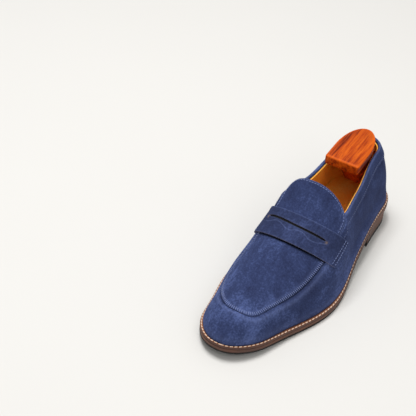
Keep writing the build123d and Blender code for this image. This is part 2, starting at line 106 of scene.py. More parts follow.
def ends(s, offset):
    """Rounding of both ends: (1 - a^2.1)^(1/2.1) (1 - b^2.3)^(1/2.3), with a and b running to 1
    at the heel's back and at the toe's tip."""
    back = WELT_WIDTH - offset
    front = SOLE_LENGTH - WELT_WIDTH + offset
    a = np.clip((HEEL_ROUND - s) / (HEEL_ROUND - back), 0, 1)
    b = np.clip((s - front + TOE_ROUND) / TOE_ROUND, 0, 1)
    return (1 - a ** 2.1) ** (1 / 2.1) * (1 - b ** 2.3) ** (1 / 2.3)


def half_widths(s, offset):
    """Lateral and medial half widths at the feather line, grown by offset."""
    lateral = through([(0, 33.2), (38, 33.2), (112, 40.6), (190, 50.9), (252, 33.2), (302, 19.7)], s)
    medial = through([(0, 33.2), (38, 33.2), (112, 31), (207, 47.2), (252, 36.2), (302, 22.7)], s)
    round_off = ends(s, offset)
    return (lateral + offset) * round_off, (medial + offset) * round_off


def centre(s):
    """Centre line in plan: -7.7 times the square of the way from s = 130 to the tip."""
    return -7.7 * np.clip((s - 130) / 172, 0, 1.1) ** 2


def sole_line(s):
    """Underside of the sole: level at the heel, a cosine down through the arch, level at the
    ball, and a parabola up to the toe."""
    arch = 9.25 * (1 + np.cos(np.pi * np.clip((s - 70) / 105, 0, 1)))
    return arch + 8.3 * np.clip((s - 200) / 102, 0, 2) ** 2


def ridge(s, offset):
    """Height of the upper's centre ridge, closed down to the feather line at both ends."""
    top = through([(0, 103.5), (38, 103.5), (100, 107), (143, 100), (160, 84.5), (170, 78.5), (200, 63.5),
                   (252, 45.5), (300, 37.5)], s)
    base = sole_line(s) + SOLE_STACK
    return base + (top + offset - base) * ends(s, offset)


def width_power(s):
    return through([(0, 2.0), (100, 1.85), (150, 2.6), (190, 2.0), (252, 2.3), (302, 2.3)], s)


def height_power(s):
    return through([(0, 2.0), (100, 2.0), (150, 2.5), (190, 1.9), (252, 2.2), (302, 2.2)], s)


def lean(s):
    return -4.65 * hump(s, 150, 55)


def form(s, w, offset):
    """Point on the form at station s, w running from -1 at the medial foot over the ridge to 1 at
    the lateral foot: rise = cos(pi w / 2)^(2/q), across = half |sin(pi w / 2)|^(2/p)."""
    s, w = np.broadcast_arrays(np.asarray(s, float), np.asarray(w, float))
    left, right = half_widths(s, offset)
    base = sole_line(s) + SOLE_STACK
    rise = np.abs(np.cos(np.pi / 2 * w)) ** (2 / height_power(s))
    across = np.abs(np.sin(np.pi / 2 * w)) ** (2 / width_power(s)) * np.where(w > 0, left, -right)
    return np.stack([s, centre(s) + lean(s) * rise + across, base + (ridge(s, offset) - base) * rise], -1)


def height_at(s, y, offset=0.0):
    """Height of the form over (s, y): the rise solves
    rise = (1 - (|y - centre - lean rise| / half)^p)^(1/q), by repeated averaging."""
    left, right = half_widths(s, offset)
    base = sole_line(s) + SOLE_STACK
    p = width_power(s)
    q = height_power(s)
    rise = np.full(np.broadcast(s, y).shape, 0.7)
    for _ in range(26):
        across = y - centre(s) - lean(s) * rise
        half = np.maximum(np.where(across > 0, left, right), 1e-6)
        share = np.clip(np.abs(across) / half, 0, 1)
        rise = 0.5 * (rise + (1 - share ** p) ** (1 / q))
    return base + (ridge(s, offset) - base) * rise


def apron_halves(s, grow=0.0):
    """Lateral and medial reach of the apron at station s, grown by grow, with cubic corners."""
    front = APRON_FRONT + grow
    lateral = through([(139, 35), (167, 37), (190, 36.5), (225, 31.8), (252, 24), (front, 17)], s)
    medial = through([(139, 27), (167, 31), (190, 34), (225, 36.3), (252, 29.8), (front, 13.5)], s)
    at_front = np.clip((s - front + APRON_CORNER) / APRON_CORNER, 0, 1)
    at_rear = np.clip((TONGUE_AT - grow + TONGUE_CORNER - s) / TONGUE_CORNER, 0, 1)
    shape = (1 - at_front ** 3) ** (1 / 3) * (
        TONGUE_FLAT + (1 - TONGUE_FLAT) * (1 - at_rear ** 3) ** (1 / 3))
    return (lateral + grow) * shape, (medial + grow) * shape


def apron_outline(grow=0.0):
    """Apron outline as one run of plan points: medial side rear to front, then lateral side back."""
    front = APRON_FRONT + grow
    rear = TONGUE_AT - grow
    angle = np.linspace(0, np.pi / 2, 60)
    straight = np.linspace(rear + TONGUE_CORNER, front - APRON_CORNER, 260)[1:-1]
    rear_run = rear + TONGUE_CORNER - TONGUE_CORNER * np.cos(angle) ** (2 / 3)
    front_run = front - APRON_CORNER + APRON_CORNER * np.sin(angle) ** (2 / 3)
    s = np.concatenate([rear_run, straight, front_run])
    lateral, medial = apron_halves(s, grow)
    run = np.stack([s, centre(s) - medial], -1)
    back = np.stack([s, centre(s) + lateral], -1)[::-1]
    return np.concatenate([run, back])


def rib(turn):
    """Origin and plan direction of the upright section numbered turn: 0 at the heel's back,
    +-1 to +-2 along the sides and +-3 at the toe's tip, plus on the lateral side."""
    t = np.abs(turn)
    way = np.where(turn < 0, -1.0, 1.0)
    angle = np.where(t <= 1, np.pi * (1 - t / 2), np.where(t <= 2, np.pi / 2, np.pi * (3 - t) / 2))
    along = HEEL_ROUND + (TOE_FAN - HEEL_ROUND) * (t - 1)
    s = np.where(t <= 1, HEEL_ROUND, np.where(t <= 2, along, TOE_FAN))
    return s, centre(s), np.cos(angle), way * np.sin(angle)


def solve(inside, shape, far=95.0):
    """Largest radius for which inside(radius) holds, by halving the interval."""
    low = np.zeros(shape)
    high = np.full(shape, far)
    for _ in range(36):
        middle = (low + high) / 2
        good = inside(middle)
        low = np.where(good, middle, low)
        high = np.where(good, high, middle)
    return low


def reach(turn, offset):
    """Distance along the rib to the feather outline grown by offset."""
    s, y, dx, dy = rib(turn)

    def inside(radius):
        at = s + dx * radius
        left, right = half_widths(at, offset)
        across = y + dy * radius - centre(at)
        return (across > -right) & (across < left) & (at > WELT_WIDTH - offset) & (
            at < SOLE_LENGTH - WELT_WIDTH + offset)
    return solve(inside, np.shape(turn))


def surface_radius(turn, height, offset=0.0):
    """Distance along the rib at which the form stands at the given height."""
    s, y, dx, dy = rib(turn)
    limit = reach(turn, offset)
    return solve(lambda r: (r < limit) & (height_at(s + dx * r, y + dy * r, offset) > height),
                 np.shape(turn))


def seam_radius(turn, grow):
    """Distance along the rib to the apron outline grown by grow, 0 where the rib misses it."""
    s, y, dx, dy = rib(turn)

    def inside(radius):
        at = s + dx * radius
        left, right = apron_halves(at, grow)
        across = y + dy * radius - centre(at)
        return (across > -right) & (across < left) & (at > TONGUE_AT - grow) & (at < APRON_FRONT + grow)
    return solve(inside, np.shape(turn))


def top_line(turn):
    """Height of the mouth's edge on a rib."""
    s, _, dx, _ = rib(turn)
    place = s + np.minimum(dx, 0) * HEEL_ROUND
    return through([(0, 91), (50, 88.5), (95, 80), (150, 79.5), (302, 79.5)], place)


def side_turn(s):
    """Number of the rib that crosses the lateral side at station s."""
    return 1 + (s - HEEL_ROUND) / (TOE_FAN - HEEL_ROUND)


def on_rib(turn, radius, offset=0.0):
    """Surface points at a distance along their ribs."""
    s, y, dx, dy = rib(turn)
    at = s + dx * radius
    across = y + dy * radius
    return np.stack([at, across, height_at(at, across, offset)], -1)


def unit(v):
    return v / np.maximum(np.linalg.norm(v, axis=-1, keepdims=True), 1e-9)


def normals(points, closed=False):
    """Unit normals of a grid, from the cross product of its two directions of travel."""
    if closed:
        u = np.roll(points, -1, 0) - np.roll(points, 1, 0)
    else:
        u = np.gradient(points, axis=0)
    return unit(np.cross(u, np.gradient(points, axis=1)))


def over_plan(s, y, lift):
    """Point of the form over (s, y) and its normal (-dz/ds, -dz/dy, 1), moved out by lift."""
    e = 0.25
    z = height_at(s, y)
    ds = (height_at(s + e, y) - height_at(s - e, y)) / (2 * e)
    dy = (height_at(s, y + e) - height_at(s, y - e)) / (2 * e)
    normal = unit(np.stack([-ds, -dy, np.ones_like(z)], -1))
    point = np.stack(np.broadcast_arrays(s, y, z), -1)
    return point + normal * np.asarray(lift)[..., None], normal


stations = np.linspace(0, SOLE_LENGTH, 600)
edge_lateral, edge_medial = half_widths(stations, WELT_WIDTH)
MIDDLE_Y = ((centre(stations) + edge_lateral).max() + (centre(stations) - edge_medial).min()) / 2


def row(points):
    """Shoe millimetres to the frame's metres."""
    return (points - np.array([SOLE_LENGTH / 2, MIDDLE_Y, 0])) * SCALE


# ---------------------------------------------------------------- making pieces
def piece(name, points, faces, finishes, node, body="shoe", marks=None, sharp=50.0):
    """Mesh object from points in shoe millimetres, riding on a body and standing for CAD nodes.
    marks are values at its points that its finishes read."""
    mesh = bpy.data.meshes.new(name)
    mesh.from_pydata(row(points.reshape(-1, 3)).tolist(), [], faces)
    for finish in finishes:
        mesh.materials.append(finish)
    for label, values in (marks or {}).items():
        mark = mesh.attributes.new(label, "FLOAT", "POINT")
        mark.data.foreach_set("value", np.asarray(values, np.float32).ravel())
    edit = bmesh.new()
    edit.from_mesh(mesh)
    bmesh.ops.remove_doubles(edit, verts=edit.verts, dist=2e-6)
    bmesh.ops.dissolve_degenerate(edit, edges=edit.edges, dist=1e-6)
    edit.to_mesh(mesh)
    edit.free()
    mesh.polygons.foreach_set("use_smooth", [True] * len(mesh.polygons))
    mesh.set_sharp_from_angle(angle=math.radians(sharp))
    mesh.update()
    made = bpy.data.objects.new(name, mesh)
    bpy.context.scene.collection.objects.link(made)
    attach(made, body)
    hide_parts(*([node] if isinstance(node, str) else node))
    return made


def grid(rows, cols, closed_rows=False, closed_cols=False, caps=False, hole=None, start=0):
    """Quads between neighbours of a rows by cols grid, wrapped where closed, with end caps."""
    index = np.arange(rows * cols).reshape(rows, cols) + start
    if closed_rows:
        index = np.vstack([index, index[:1]])
    if closed_cols:
        index = np.hstack([index, index[:, :1]])
    quads = np.stack([index[:-1, :-1], index[1:, :-1], index[1:, 1:], index[:-1, 1:]], -1)
    if hole is not None:
        quads = quads[~hole]
    faces = quads.reshape(-1, 4).tolist()
    if caps:
        faces.append(index[0, :cols].tolist())
        faces.append(index[rows - 1, :cols][::-1].tolist())
    return faces


def thicken(made, thickness, edge=0.0, edge_finish=None):
    """Give a sheet its thickness inward and soften its cut edges."""
    solid = made.modifiers.new("thickness", "SOLIDIFY")
    solid.thickness = thickness * SCALE
    solid.offset = -1
    solid.use_even_offset = False
    if edge_finish is not None:
        solid.material_offset_rim = edge_finish
    if edge:
        bevel = made.modifiers.new("soft_edges", "BEVEL")
        bevel.width = edge * SCALE
        bevel.segments = 2
        bevel.limit_method = "ANGLE"
        bevel.angle_limit = math.radians(55)


def stitches(name, centres, forwards, ups, length, width, height, finish, node):
    """Row of thread stitches: one small capsule, x = length/2 cos(a), radius = sin(a)^0.6
    flattened to width by height, copied to every centre along its forward direction."""
    rings = 5
    sides = 6
    a = np.linspace(0, np.pi, rings + 2)
    b = np.arange(sides) / sides * 2 * np.pi
    x = np.cos(a)[:, None] * length / 2 * np.ones(sides)
    fat = np.sin(a)[:, None] ** 0.6
    y = fat * np.cos(b) * width / 2
    z = fat * np.sin(b) * height / 2
    forwards = unit(forwards)
    sideways = unit(np.cross(ups, forwards))
    ups = np.cross(forwards, sideways)
    points = (centres[:, None, None] + x[..., None] * forwards[:, None, None]
              + y[..., None] * sideways[:, None, None] + z[..., None] * ups[:, None, None])
    faces = []
    for number in range(len(centres)):
        faces += grid(rings + 2, sides, closed_cols=True, start=number * (rings + 2) * sides)
    faces = [f[::-1] for f in faces]
    piece(name, points, faces, [finish], node, "shoe", sharp=180)


def spaced(path, pitch, start=0.0, *others):
    """Points at even distances along a run, with the directions of travel there."""
    step = np.linalg.norm(np.diff(path, axis=0), axis=1)
    place = np.concatenate([[0], np.cumsum(step)])
    at = np.arange(start, place[-1], pitch)

    def read(values):
        return np.stack([np.interp(at, place, values[:, k]) for k in range(values.shape[1])], -1)
    tangents = np.gradient(path, axis=0)
    return [read(path), unit(read(tangents))] + [read(o) for o in others]


# ---------------------------------------------------------------- finishes
def paint(red, green, blue):
    """Screen colour 0-255 to the linear colour that a shader reads."""
    c = np.array([red, green, blue]) / 255
    linear = np.where(c <= 0.04045, c / 12.92, ((c + 0.055) / 1.055) ** 2.4)
    return tuple(linear.tolist()) + (1.0,)


def dimmed(colour, factor):
    """Linear colour times a factor, at most 1."""
    return tuple(min(1.0, c * factor) for c in colour[:3]) + (1.0,)


class Link:
    """A socket of a finish. Sums and products on it add Math nodes."""

    def __init__(self, finish, socket):
        self.finish = finish
        self.socket = socket

    def math(self, operation, *values):
        return self.finish.node("ShaderNodeMath", {"operation": operation}, dict(enumerate(values)))

    def __add__(self, other):
        return self.math("ADD", self, other)

    def __mul__(self, other):
        return self.math("MULTIPLY", self, other)

    def __sub__(self, other):
        return self.math("SUBTRACT", self, other)

    __radd__ = __add__
    __rmul__ = __mul__

    def clip(self):
        return self.finish.node("ShaderNodeClamp", {}, {"Value": self})


class Finish:
    """A procedural material: node() adds a node, surface() sets the shader's own sockets."""

    def __init__(self, name):
        self.material = bpy.data.materials.new(name)
        self.material.use_nodes = True
        self.tree = self.material.node_tree
        self.shader = self.tree.nodes["Principled BSDF"]

    def node(self, kind, settings, sockets, output=0):
        made = self.tree.nodes.new(kind)
        for key, value in settings.items():
            if key == "stops":
                ramp = made.color_ramp
                while len(ramp.elements) > 1:
                    ramp.elements.remove(ramp.elements[-1])
                ramp.elements[0].position = value[0][0]
                ramp.elements[0].color = value[0][1]
                for place, colour in value[1:]:
                    ramp.elements.new(place).color = colour
            else:
                setattr(made, key, value)
        for key, value in sockets.items():
            self.join(made.inputs[key], value)
        return Link(self, made.outputs[output])

    def join(self, socket, value):
        if isinstance(value, Link):
            self.tree.links.new(value.socket, socket)
        else:
            socket.default_value = value

    def place(self):
        return self.node("ShaderNodeTexCoord", {}, {}, "Object")

    def stretched(self, sizes, turn=(0, 0, 0)):
        return self.node("ShaderNodeMapping", {}, {"Vector": self.place(), "Scale": sizes,
                                                   "Rotation": turn})

    def noise(self, scale, detail=2.0, rough=0.5, vector=None, twist=0.0):
        return self.node("ShaderNodeTexNoise", {}, {
            "Vector": vector or self.place(), "Scale": scale, "Detail": detail, "Roughness": rough,
            "Distortion": twist})

    def ramp(self, value, stops):
        return self.node("ShaderNodeValToRGB", {"stops": stops}, {0: value})

    def window(self, value, low, high):
        return self.node("ShaderNodeMapRange", {"interpolation_type": "SMOOTHSTEP"},
                         {"Value": value, "From Min": low, "From Max": high})

    def blend(self, factor, first, second):
        sockets = {0: factor, 6: first, 7: second}
        return self.node("ShaderNodeMix", {"data_type": "RGBA"}, sockets, 2)

    def mark(self, name):
        return self.node("ShaderNodeAttribute", {"attribute_name": name}, {}, "Fac")

    def bump(self, height, strength, distance):
        """Relief of the given height in millimetres."""
        return self.node("ShaderNodeBump", {}, {
            "Height": height, "Strength": strength, "Distance": distance * 0.001})

    def surface(self, **sockets):
        for key, value in sockets.items():
            self.join(self.shader.inputs[key.replace("_", " ")], value)
        return self.material


def suede_finish(name, dark, mid, light, edge_wear_highlight):
    """Napped suede: cloudy patches where the nap lies one way or the other, brush streaks,
    fine fibres, near-black painted shade at seams, steps and under the strap (from a mark), and paler
    edges that are partly rubbed wear and partly painted highlight (from another mark)."""
    f = Finish(name)
    broad = f.window(f.noise(13, 2.0, 0.5), 0.35, 0.65)
    patches = f.noise(38, 3.0, 0.55, twist=0.8)
    streaks = f.noise(60, 4.0, 0.6, f.stretched((0.6, 2.4, 1.2), (0.0, 0.35, 0.5)), 1.2)
    nap = f.window(patches * 0.6 + streaks * 0.4, 0.3, 0.72)
    fibres = f.noise(1400, 3.0, 0.7)
    speckle = f.window(f.noise(520, 2.0, 0.6), 0.35, 0.7)
    tone = nap * 0.45 + broad * 0.3 + speckle * 0.25
    base = f.ramp(tone, [(0.08, dark), (0.5, mid), (0.95, light)])
    fine = f.blend(((fibres - 0.5) * 1.4 + 0.2).clip(), base, f.blend(0.5, base, light))
    # Paler edges: partly rubbed wear, partly painted highlight where raised edges catch the light.
    with_wear_and_highlight = f.blend((f.mark("rub") * (0.65 + 0.35 * speckle)).clip(), fine, edge_wear_highlight)
    # Painted shade: near black where the shade mark is set.
    with_painted_shade = f.blend(f.mark("crease").clip(), with_wear_and_highlight, dimmed(dark, 0.12))
    with_painted_shade = f.blend((f.mark("raw") * 0.5).clip(), with_painted_shade, paint(150, 126, 96))
    relief = f.bump(fibres * 0.7 + speckle * 0.6 + patches * 0.8, 0.5, 0.3)
    return f.surface(Base_Color=with_painted_shade, Roughness=0.96, Normal=relief, Sheen_Weight=0.12,
                     Sheen_Roughness=0.5, Sheen_Tint=paint(120, 140, 210), Specular_IOR_Level=0.12)


def leather_finish(name, dark, mid, light, gloss, sides=None):
    """Smooth leather: slow tone changes, fine pores from a cell pattern, and a darker ink where the
    mark ink is set."""
    f = Finish(name)
    tone = f.noise(22, 4.0, 0.6)
    pores = f.node("ShaderNodeTexVoronoi", {"feature": "F1"}, {"Vector": f.place(), "Scale": 900.0})
    colour = f.ramp(tone * 0.8 + pores * 0.25, [(0.25, dark), (0.5, mid), (0.78, light)])
    if sides is not None:
        colour = f.blend(f.mark("ink").clip(), colour, sides)
    relief = f.bump(pores * 0.5 + f.noise(160, 3.0, 0.6), 0.25, 0.3)
    return f.surface(Base_Color=colour, Roughness=f.window(tone, 0.2, 0.8) * 0.15 + gloss,
                     Normal=relief, Specular_IOR_Level=0.4)


def stacked_finish(name, dark, mid, light, gloss):
    """Inked edge of stacked or cut sole leather: thin level layers and burnished patches."""
    f = Finish(name)
    layers = f.noise(120, 3.0, 0.6, f.stretched((0.25, 0.25, 14.0)))
    patches = f.noise(30, 3.0, 0.6)
    colour = f.ramp(layers * 0.55 + patches * 0.5, [(0.3, dark), (0.52, mid), (0.75, light)])
    relief = f.bump(layers + f.noise(700, 2.0, 0.6) * 0.4, 0.35, 0.25)
    return f.surface(Base_Color=colour, Roughness=f.window(patches, 0.3, 0.8) * 0.2 + gloss,
                     Normal=relief)


def thread_finish(name, dark, light):
    """Twisted thread: a fine slanted wave gives the ply, with a soft tone change."""
    f = Finish(name)
    ply = f.node("ShaderNodeTexWave", {"wave_type": "BANDS", "bands_direction": "DIAGONAL"},
                 {"Vector": f.place(), "Scale": 900.0, "Distortion": 1.5})
    colour = f.blend((f.noise(150, 2.0, 0.5) * 0.6 + ply * 0.4).clip(), dark, light)
    return f.surface(Base_Color=colour, Roughness=0.7, Normal=f.bump(ply, 0.5, 0.15),
                     Sheen_Weight=0.2)


def wood_finish(name, dark, mid, light):
    """Stained close-grained wood: long streaks along the shoe, growth bands that wander, small
    dark pores, and a thin worn wax coat; a mark paints a highlight on the bevelled edges."""
    f = Finish(name)
    grain = (0.0, -0.1, 0.09)
    broad = f.noise(110, 3.0, 0.5, f.stretched((0.07, 1.0, 0.6), grain), 0.35)
    streaks = f.noise(420, 4.0, 0.6, f.stretched((0.035, 1.0, 0.8), grain), 0.2)
    bands = broad * 0.55 + streaks * 0.45
    pores = f.window(f.noise(1500, 2.0, 0.5, f.stretched((0.05, 1.0, 1.0), grain)), 0.6, 0.7)
    tone = f.ramp(bands, [(0.4, dark), (0.49, mid), (0.6, light)])
    pored = f.blend(pores * 0.4, tone, dimmed(dark, 0.4))
    # Painted highlight on the bevelled edges where the mark is set.
    colour = f.blend((f.mark("rub") * 0.6).clip(), pored, dimmed(light, 1.35))
    relief = f.bump(bands + pores * -0.6, 0.2, 0.3)
    return f.surface(Base_Color=colour, Roughness=bands * 0.25 + 0.4, Normal=relief,
                     Specular_IOR_Level=0.12)


def plain_finish(name, dark, light, scale, gloss, metal=0.0, strength=0.3):
    """Speckled solid stuff: two tones mixed by noise, with a matching bump."""
    f = Finish(name)
    tone = f.noise(scale, 4.0, 0.65)
    colour = f.blend(f.window(tone, 0.3, 0.7), dark, light)
    return f.surface(Base_Color=colour, Roughness=gloss, Metallic=metal,
                     Normal=f.bump(tone, strength, 0.3))


# The last colour of each suede is its paler edge colour: partly wear, partly painted highlight.
suede = suede_finish("navy_suede", paint(26, 31, 58), paint(44, 54, 89), paint(80, 95, 144),
                     paint(104, 118, 166))
strap_suede = suede_finish("strap_suede", paint(26, 31, 55), paint(41, 49, 80), paint(66, 78, 120),
                           paint(98, 112, 158))
raw_edge = suede_finish("suede_cut_edge", paint(58, 52, 66), paint(88, 84, 104), paint(120, 112, 124),
                        paint(132, 146, 186))
lining = leather_finish("tan_lining", paint(246, 146, 34), paint(255, 184, 66),
                        paint(255, 214, 118), 0.42)
welt_leather = leather_finish("welt_leather", paint(112, 62, 34), paint(150, 90, 52),
                              paint(182, 118, 76), 0.5, sides=paint(84, 54, 44))
sole_leather = stacked_finish("sole_leather_edge", paint(56, 34, 27), paint(92, 57, 43),
                              paint(128, 84, 62), 0.55)
rubber = plain_finish("sole_rubber_black", paint(14, 14, 16), paint(34, 33, 34), 500, 0.7)
blue_thread = thread_finish("light_blue_thread", paint(84, 98, 148), paint(126, 140, 188))
navy_thread = thread_finish("navy_thread", paint(52, 63, 104), paint(78, 91, 138))
cream_thread = thread_finish("cream_thread", paint(208, 166, 138), paint(246, 220, 196))
tree_wood = wood_finish("reddish_tree_wood", paint(98, 27, 2), paint(166, 60, 4),
                        paint(204, 92, 14))
# Near-black backing under the strap's slit: painted shadow seen through the slit.
shadow_black_cloth = plain_finish("backing_painted_shadow_black", paint(6, 6, 9), paint(16, 16, 20), 1800, 0.95)
board = plain_finish("insole_board", paint(160, 122, 86), paint(196, 160, 120), 300, 0.8)
stiff_cloth = plain_finish("stiff_cloth", paint(176, 164, 144), paint(206, 196, 178), 900, 0.85)
cork = plain_finish("ground_cork", paint(120, 82, 50), paint(190, 146, 100), 400, 0.85, strength=0.8)
steel = plain_finish("shank_steel", paint(128, 130, 134), paint(168, 170, 174), 260, 0.32, 1.0, 0.1)
brass = plain_finish("nail_brass", paint(176, 136, 66), paint(214, 176, 98), 300, 0.3, 1.0, 0.1)

# CAD pieces whose own shape is shown keep it and take a finish.
cad_finish = {"rubber_sole": rubber, "top_piece": rubber, "heel_lift_1": sole_leather,
              "heel_lift_2": sole_leather, "heel_lift_3": sole_leather, "insole": board,
              "cork_filler": cork, "shank": steel, "heel_nails": brass, "heel_counter": stiff_cloth,
              "toe_puff": stiff_cloth, "vamp_lining": lining, "sock_liner": lining,
              "strap_backing": shadow_black_cloth}
for node, finish in cad_finish.items():
    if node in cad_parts:
        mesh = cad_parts[node].data
        if len(mesh.materials) == 0:
            mesh.materials.append(finish)
        for number in range(len(mesh.materials)):
            mesh.materials[number] = finish


def all_round(toe, side, heel):
    """Turns of ribs once round the shoe, from the toe's tip by the medial side to the toe's tip."""
    parts = ((-3, -2, toe), (-2, -1, side), (-1, 1, heel), (1, 2, side), (2, 3, toe))
    return np.concatenate([np.linspace(low, high, n)[:-1] for low, high, n in parts])


# ---------------------------------------------------------------- suede walls
FINE_ROWS = 24
turns = all_round(70, 120, 110)


def wall_rows(turns, offset, under, drop=0.0):
    """Radii down the wall on each rib: fine steps just outside the top edge, then
    top + (foot - top) sin(pi/2 share) to the foot. The top is the mouth's edge, or the apron's
    outline drawn in by under."""
    mouth = surface_radius(turns, top_line(turns) - drop, offset)
    top = np.maximum(mouth, seam_radius(turns, -under))
    foot = reach(turns, offset)
    near = np.minimum(8.0, 0.25 * (foot - top))
    fine = np.linspace(0, 1, FINE_ROWS + 1)[:-1]
    share = np.sin(np.pi / 2 * np.linspace(0, 1, 44))
    start = top[:, None] + near[:, None] * fine
    rest = (top + near)[:, None] + (foot - top - near)[:, None] * share
    return np.concatenate([start, rest], 1)


def wall_surface(turns, offset, under, drop=0.0):
    """Points of a wall down to the feather line, and their radii: the form where it stands inside
    the outline, then straight down. Rows below the fine ones are even in length along the rib,
    rounded by passes of (above + 2 here + below) / 4."""
    radii = wall_rows(turns, offset, under, drop)
    heights = on_rib(turns[:, None], radii, offset)[..., 2]
    s, y, dx, dy = rib(turns[:, None])
    foot = sole_line(s + dx * radii[:, -1:]) + SOLE_STACK
    run = np.concatenate([radii[:, FINE_ROWS:], radii[:, -1:]], 1)
    rise = np.concatenate([heights[:, FINE_ROWS:], foot], 1)
    steps = np.hypot(np.diff(run), np.diff(rise))
    length = np.concatenate([np.zeros_like(foot), np.cumsum(steps, 1)], 1)
    share = np.linspace(0, 1, radii.shape[1] - FINE_ROWS)
    for i in range(len(turns)):
        radii[i, FINE_ROWS:] = np.interp(share * length[i, -1], length[i], run[i])
        heights[i, FINE_ROWS:] = np.interp(share * length[i, -1], length[i], rise[i])
    for rows in (radii[:, FINE_ROWS:], heights[:, FINE_ROWS:]):
        for _ in range(8):
            rows[:, 1:-1] = (rows[:, :-2] + 2 * rows[:, 1:-1] + rows[:, 2:]) / 4
    return np.stack([s + dx * radii, y + dy * radii, heights], -1), radii


def distance_to(outline, s, y):
    """Shortest distance in plan from points to a run of outline points."""
    flat = np.stack([np.ravel(s), np.ravel(y)], -1)
    best = np.full(len(flat), 1e9)
    for part in np.array_split(np.arange(len(outline)), 12):
        gap = flat[:, None] - outline[part][None]
        best = np.minimum(best, (gap ** 2).sum(-1).min(1))
    return np.sqrt(best).reshape(np.shape(s))


seam = apron_outline()
wall, radii = wall_surface(turns, 0.0, 2.5)
out = normals(wall, closed=True)
seam_at = seam_radius(turns, 0.0)[:, None]
from_seam = distance_to(seam, wall[..., 0], wall[..., 1]) * np.sign(radii - seam_at)
signed = np.where(seam_at > 0, from_seam, 50.0)
forward = smooth(wall[..., 0], 160, 172)
sunk = -1.3 * (1 - smooth(signed, -0.6, 0.9))
swell = 0.45 * hump(signed, 2.4, 1.5) * (signed > 0)
foot_gap = wall[..., 2] - (sole_line(wall[..., 0]) + SOLE_STACK)
stand_out = through([(0, 2.0), (0.9, 2.2), (1.2, 3.5), (1.5, 3.2), (1.75, 1.6), (2.3, 1.6), (2.7, 2.6),
                     (3, 2.8)], np.abs(turns))[:, None]
bulge = stand_out * (1 - smooth(foot_gap, 0.5, 17)) - 0.5 * hump(foot_gap, 0, 1.2)
wall_points = wall + out * (sunk + swell * forward + bulge)[..., None]
# Painted shade: near black on the wall under the apron's outline and along its foot at the welt.
crease = np.clip(0.5 * (1 - smooth(signed, 0.0, 0.8)) + 0.7 * hump(foot_gap, 0, 1.1), 0, 1)
# Paler: painted highlight on the swell beside the apron seam, and partly wear, partly painted highlight a
# little above the foot.
rub = 0.35 * hump(signed, 2.6, 1.2) * forward + 0.18 * hump(foot_gap, 5, 3)
upper_wall = piece("upper_wall", wall_points, grid(*wall.shape[:2], closed_rows=True),
                   [suede, raw_edge], ["vamp", "quarter_lateral", "quarter_medial"],
                   marks={"crease": crease, "rub": rub})
thicken(upper_wall, 1.4)

# ---------------------------------------------------------------- apron with its tongue


def apron_grid(inset, last, cols):
    """Apron stations up to last, and plan points: y = centre + u half width, u = sin(pi v / 2),
    with stations crowded at the rounded front and rear."""
    front = APRON_FRONT - inset
    rear = TONGUE_AT + inset
    angle = np.linspace(0, np.pi / 2, 26)
    rear_run = rear + TONGUE_CORNER - TONGUE_CORNER * np.cos(angle) ** (2 / 3)
    front_run = front - APRON_CORNER + APRON_CORNER * np.sin(angle) ** (2 / 3)
    straight = np.linspace(rear + TONGUE_CORNER, front - APRON_CORNER, 130)[1:-1]
    s = np.concatenate([rear_run, straight, front_run])
    s = s[s <= last]
    lateral, medial = apron_halves(s, -inset)
    u = np.sin(np.pi / 2 * np.linspace(-1, 1, cols))
    y = centre(s)[:, None] + np.where(u > 0, lateral[:, None], medial[:, None]) * u
    return np.repeat(s[:, None], cols, 1), y


apron_s, apron_y = apron_grid(0.0, SOLE_LENGTH, 121)
inner = distance_to(seam, apron_s, apron_y)
rear_gap = apron_s - TONGUE_AT
inner = np.minimum(inner, np.where(rear_gap < 20, rear_gap, 99))
forward = smooth(apron_s, 160, 172)
edge_drop = -0.45 * hump(inner, 0, 0.7) * forward - 0.35 * hump(inner, 0, 0.7) * (1 - forward)
puff_up = 0.35 * hump(inner, 2.4, 1.5) * forward
tongue_lift = 0.9 * (1 - forward)
apron_points, _ = over_plan(apron_s, apron_y, edge_drop + puff_up + tongue_lift)
across = np.clip((apron_y - centre(apron_s)) / 45, -1, 1)
strap_line = STRAP_REAR + STRAP_BOW * (1 - across ** 2) - STRAP_SLOPE * (STRAP_TOP - apron_points[..., 2])
past_strap = apron_s - strap_line
under_strap = (past_strap > 6) * (past_strap < STRAP_WIDTH + 0.8)
# Painted shadow under the penny strap and in a thin band just in front of its front edge.
strap_shade = hump(past_strap, STRAP_WIDTH + 0.8, 1.3) + under_strap
# Painted shade also along the apron's sunk outline.
crease = np.clip(0.5 * hump(inner, 0, 0.5) * forward + 0.95 * strap_shade, 0, 1)
# Paler: the puffed ridge inside the seam and the tongue's edge, partly wear and partly painted highlight.
rub = 0.2 * hump(inner, 2.6, 1.2) * forward + 0.4 * hump(inner, 0.3, 0.8) * (1 - forward)
apron = piece("apron_and_tongue", apron_points, grid(*apron_s.shape), [suede, raw_edge], "apron",
              marks={"crease": crease, "rub": rub})
thicken(apron, 1.5, 0.35, 1)

tongue_s, tongue_y = apron_grid(1.5, 166, 81)
tongue_points, _ = over_plan(tongue_s, tongue_y, 0.9 * (1 - smooth(tongue_s, 160, 172)) - 1.7)
tongue_lining = piece("tongue_lining_leather", tongue_points, grid(*tongue_s.shape), [lining],
                      "tongue_lining",
                      marks={"ink": np.zeros(tongue_s.size)})
thicken(tongue_lining, 1.0, 0.25)

# ---------------------------------------------------------------- linings of the quarters
lining_turn = side_turn(164.0)
lining_turns = np.linspace(-lining_turn, lining_turn, 240)
lining_points, _ = wall_surface(lining_turns, LINING_IN, 1.0, 2.6)
quarter_lining = piece("quarter_lining_leather", lining_points, grid(*lining_points.shape[:2]),
                       [lining], "quarter_lining",
                       marks={"ink": np.zeros(lining_points[..., 0].size)})
thicken(quarter_lining, 1.2, 0.3)

